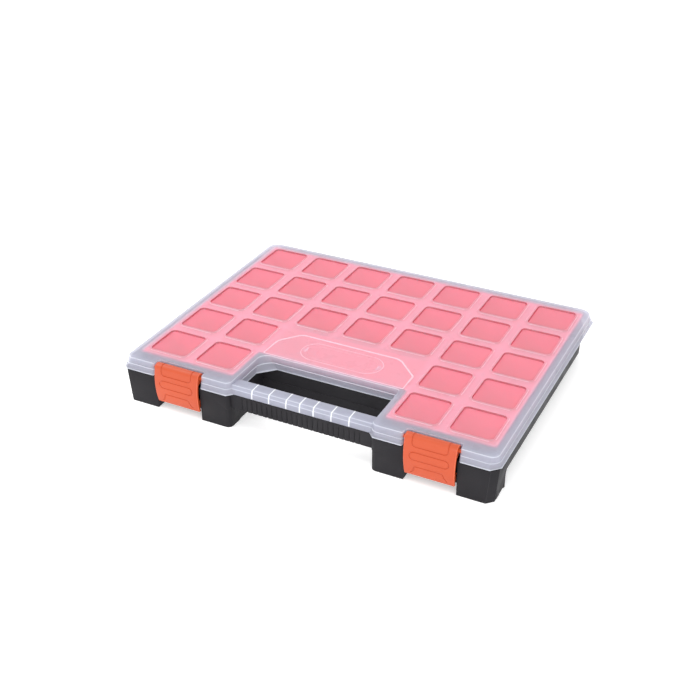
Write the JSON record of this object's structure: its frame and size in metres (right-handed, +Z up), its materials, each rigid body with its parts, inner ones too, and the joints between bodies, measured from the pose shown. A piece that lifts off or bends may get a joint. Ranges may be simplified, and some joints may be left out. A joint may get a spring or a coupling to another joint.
{
  "type": "parts organizer case",
  "caption": "Flat carrying case for small parts: black base with red lift-out cups, hinged frosted lid with windows, orange latches and a front handle.",
  "frame": {"origin": "bottom centre of the closed case's overall box, on the surface it lies on", "axes": "+X to the right along the longest side, +Y to the hinge at the back, +Z up; the latches and handle face -Y"},
  "size_m": [0.3828, 0.2962, 0.049],
  "materials": {
    "base_black": "fine spark-textured moulded plastic, satin black",
    "lid_frosted": "translucent natural plastic, frosted webs with clearer polished windows",
    "cup_red": "smooth moulded plastic",
    "latch_orange": "smooth moulded plastic, satin",
    "pin_steel": "bright drawn wire"
  },
  "bodies": {
    "base": {"base_shell": "base_black", "cup_row1_col1": "cup_red", "cup_row1_col2": "cup_red", "cup_row1_col3": "cup_red", "cup_row1_col4": "cup_red", "cup_row1_col5": "cup_red", "cup_row1_col6": "cup_red", "cup_row1_col7": "cup_red", "cup_row2_col1": "cup_red", "cup_row2_col2": "cup_red", "cup_row2_col3": "cup_red", "cup_row2_col4": "cup_red", "cup_row2_col5": "cup_red", "cup_row2_col6": "cup_red", "cup_row2_col7": "cup_red", "cup_row3_col1": "cup_red", "cup_row3_col2": "cup_red", "cup_row3_col3": "cup_red", "cup_row3_col4": "cup_red", "cup_row3_col5": "cup_red", "cup_row3_col6": "cup_red", "cup_row3_col7": "cup_red", "cup_row4_col1": "cup_red", "cup_row4_col2": "cup_red", "cup_row4_col6": "cup_red", "cup_row4_col7": "cup_red", "cup_row5_col1": "cup_red", "cup_row5_col2": "cup_red", "cup_row5_col6": "cup_red", "cup_row5_col7": "cup_red", "cup_wide": "cup_red", "hinge_pin_left": "pin_steel", "hinge_pin_right": "pin_steel"},
    "lid": {"lid": "lid_frosted"},
    "latch_left": {"latch_left": "latch_orange"},
    "latch_right": {"latch_right": "latch_orange"}
  },
  "joints": [
    {"name": "lid_hinge", "type": "hinge", "parent": "base", "child": "lid", "pos_m": [0, 0.1441, 0.0334], "axis": [-1, 0, 0], "range_deg": [0, 110]},
    {"name": "latch_left_hinge", "type": "hinge", "parent": "lid", "child": "latch_left", "pos_m": [-0.1295, -0.1409, 0.0441], "axis": [-1, 0, 0], "range_deg": [0, 95]},
    {"name": "latch_right_hinge", "type": "hinge", "parent": "lid", "child": "latch_right", "pos_m": [0.1295, -0.1409, 0.0441], "axis": [-1, 0, 0], "range_deg": [0, 95]}
  ]
}
